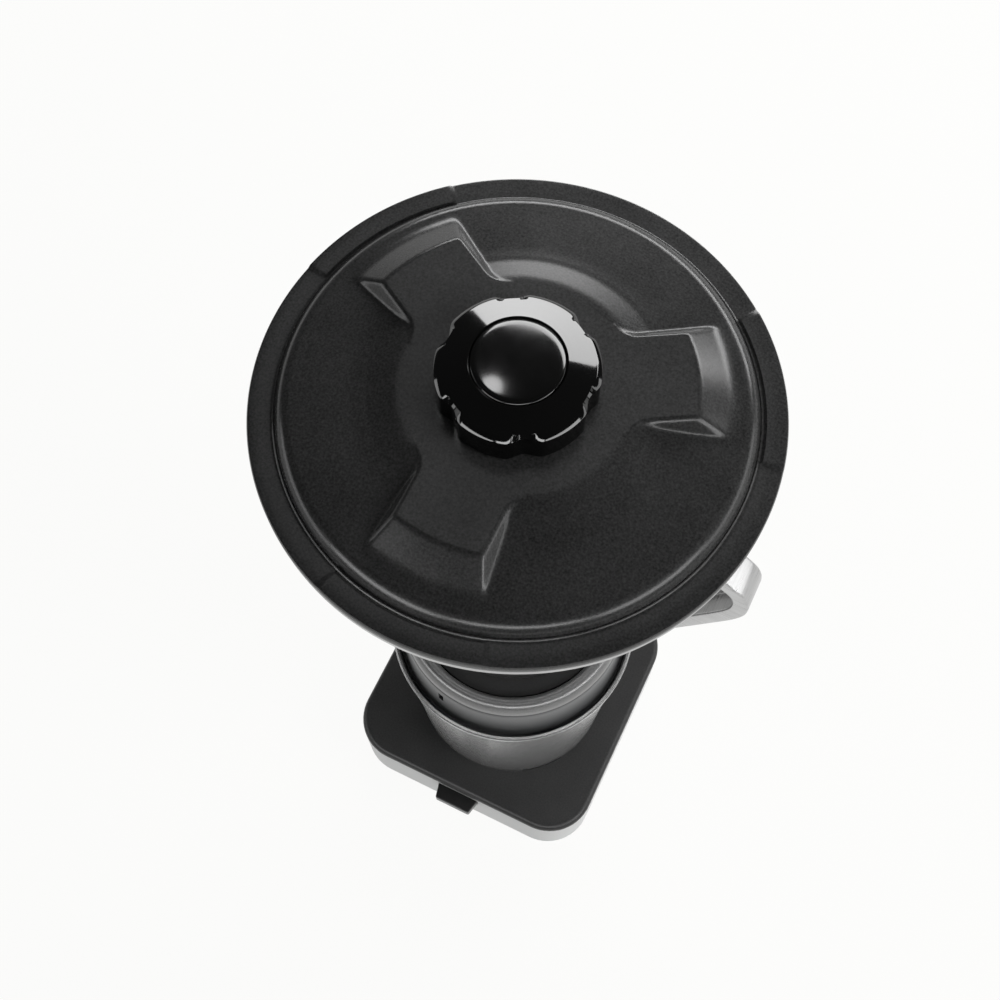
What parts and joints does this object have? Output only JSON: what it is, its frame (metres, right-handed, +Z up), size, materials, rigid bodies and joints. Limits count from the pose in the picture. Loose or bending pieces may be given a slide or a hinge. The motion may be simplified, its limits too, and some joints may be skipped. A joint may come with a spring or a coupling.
{
  "type": "jar blender",
  "caption": "Tall countertop jar blender: square base with paddle switch, flared motor column, tapered steel jar with ear handle, black lid with star ribs and lobed filler cap.",
  "frame": {"origin": "centre of the square base, at the height of the feet's lower faces", "axes": "+Z up along the motor shaft and jar, -Y towards the switch paddle, +X towards the jar handle"},
  "size_m": [0.2108, 0.202, 0.4896],
  "materials": {
    "light_grey_plastic": "light grey moulded plastic, fine satin texture",
    "black_cover_plastic": "matte black textured moulded plastic",
    "black_rubber": "black rubber, matte",
    "steel": "plain ground steel",
    "gloss_black_plastic": "polished black moulded plastic",
    "pale_nylon": "natural nylon, satin",
    "board_green": "green circuit board lacquer",
    "satin_grey_metal": "satin silver-grey enamel over metal",
    "grey_collar_plastic": "satin mid-grey moulded plastic",
    "cast_aluminium": "as-cast aluminium",
    "lamination": "stacked and varnished steel sheets",
    "copper": "enamelled copper wire and copper bars",
    "carbon": "pressed carbon, matte",
    "bronze": "sintered bronze and stamped brass",
    "stainless": "brushed stainless steel",
    "matte_black_lid": "matte black moulded plastic with a fine grain"
  },
  "bodies": {
    "base": {"base_housing": "light_grey_plastic", "base_top_cover": "black_cover_plastic", "bottom_cover": "black_cover_plastic", "foot_front_left": "black_rubber", "cover_screw_front_left": "steel", "foot_front_right": "black_rubber", "cover_screw_front_right": "steel", "foot_back_left": "black_rubber", "cover_screw_back_left": "steel", "foot_back_right": "black_rubber", "cover_screw_back_right": "steel", "switch_pin": "steel", "switch_body": "pale_nylon", "control_board": "board_green", "capacitor": "gloss_black_plastic", "cord_gland": "black_rubber", "column_shell": "satin_grey_metal", "seat_collar": "grey_collar_plastic", "seat_ring": "satin_grey_metal", "seat_pad": "black_rubber", "shaft_seal": "black_rubber", "lower_bracket": "cast_aluminium", "upper_bracket": "cast_aluminium", "lower_bearing": "steel", "upper_bearing": "steel", "stator_core": "lamination", "field_coil_left": "copper", "brush_left": "carbon", "brush_holder_left": "bronze", "motor_bolt_left": "steel", "field_coil_right": "copper", "brush_right": "carbon", "brush_holder_right": "bronze", "motor_bolt_right": "steel"},
    "paddle": {"switch_paddle": "gloss_black_plastic"},
    "rotor": {"motor_shaft": "steel", "rotor_core": "lamination", "rotor_winding": "copper", "commutator": "copper", "cooling_fan": "pale_nylon", "drive_coupling": "steel"},
    "jar": {"jar_body": "stainless", "jar_foot": "stainless", "jar_handle": "stainless", "blade_hub": "stainless", "hub_gasket": "black_rubber", "hub_nut": "stainless", "hub_bush": "bronze"},
    "blades": {"blade_shaft": "stainless", "driven_coupling": "steel", "lower_blade": "stainless", "upper_blade": "stainless", "blade_nut": "stainless"},
    "lid": {"lid_shell": "matte_black_lid", "lid_gasket": "black_rubber"},
    "cap": {"filler_plug": "matte_black_lid", "plug_seal": "black_rubber"},
    "knob": {"cap_knob": "gloss_black_plastic", "cap_boss": "gloss_black_plastic", "cap_screw": "steel"}
  },
  "joints": [
    {"name": "motor_spin", "type": "hinge", "parent": "base", "child": "rotor", "pos_m": [0, 0, 0.104], "axis": [0, 0, 1], "continuous": true},
    {"name": "switch_tilt", "type": "hinge", "parent": "base", "child": "paddle", "pos_m": [0, -0.0733, 0.0375], "axis": [1, 0, 0], "range_deg": [-7, 7]},
    {"name": "jar_lift", "type": "slide", "parent": "base", "child": "jar", "axis": [0, 0, 1], "range_m": [0, 0.15]},
    {"name": "blade_spin", "type": "hinge", "parent": "jar", "child": "blades", "pos_m": [0, 0, 0.232], "axis": [0, 0, 1], "continuous": true},
    {"name": "lid_lift", "type": "slide", "parent": "jar", "child": "lid", "axis": [0, 0, 1], "range_m": [0, 0.12]},
    {"name": "cap_lift", "type": "slide", "parent": "lid", "child": "cap", "axis": [0, 0, 1], "range_m": [0, 0.06]},
    {"name": "cap_turn", "type": "hinge", "parent": "cap", "child": "knob", "pos_m": [0, 0, 0.475], "axis": [0, 0, 1], "range_deg": [0, 60]}
  ],
  "couplings": [
    {"joint": "blade_spin", "follows": "motor_spin", "ratio": 1}
  ]
}
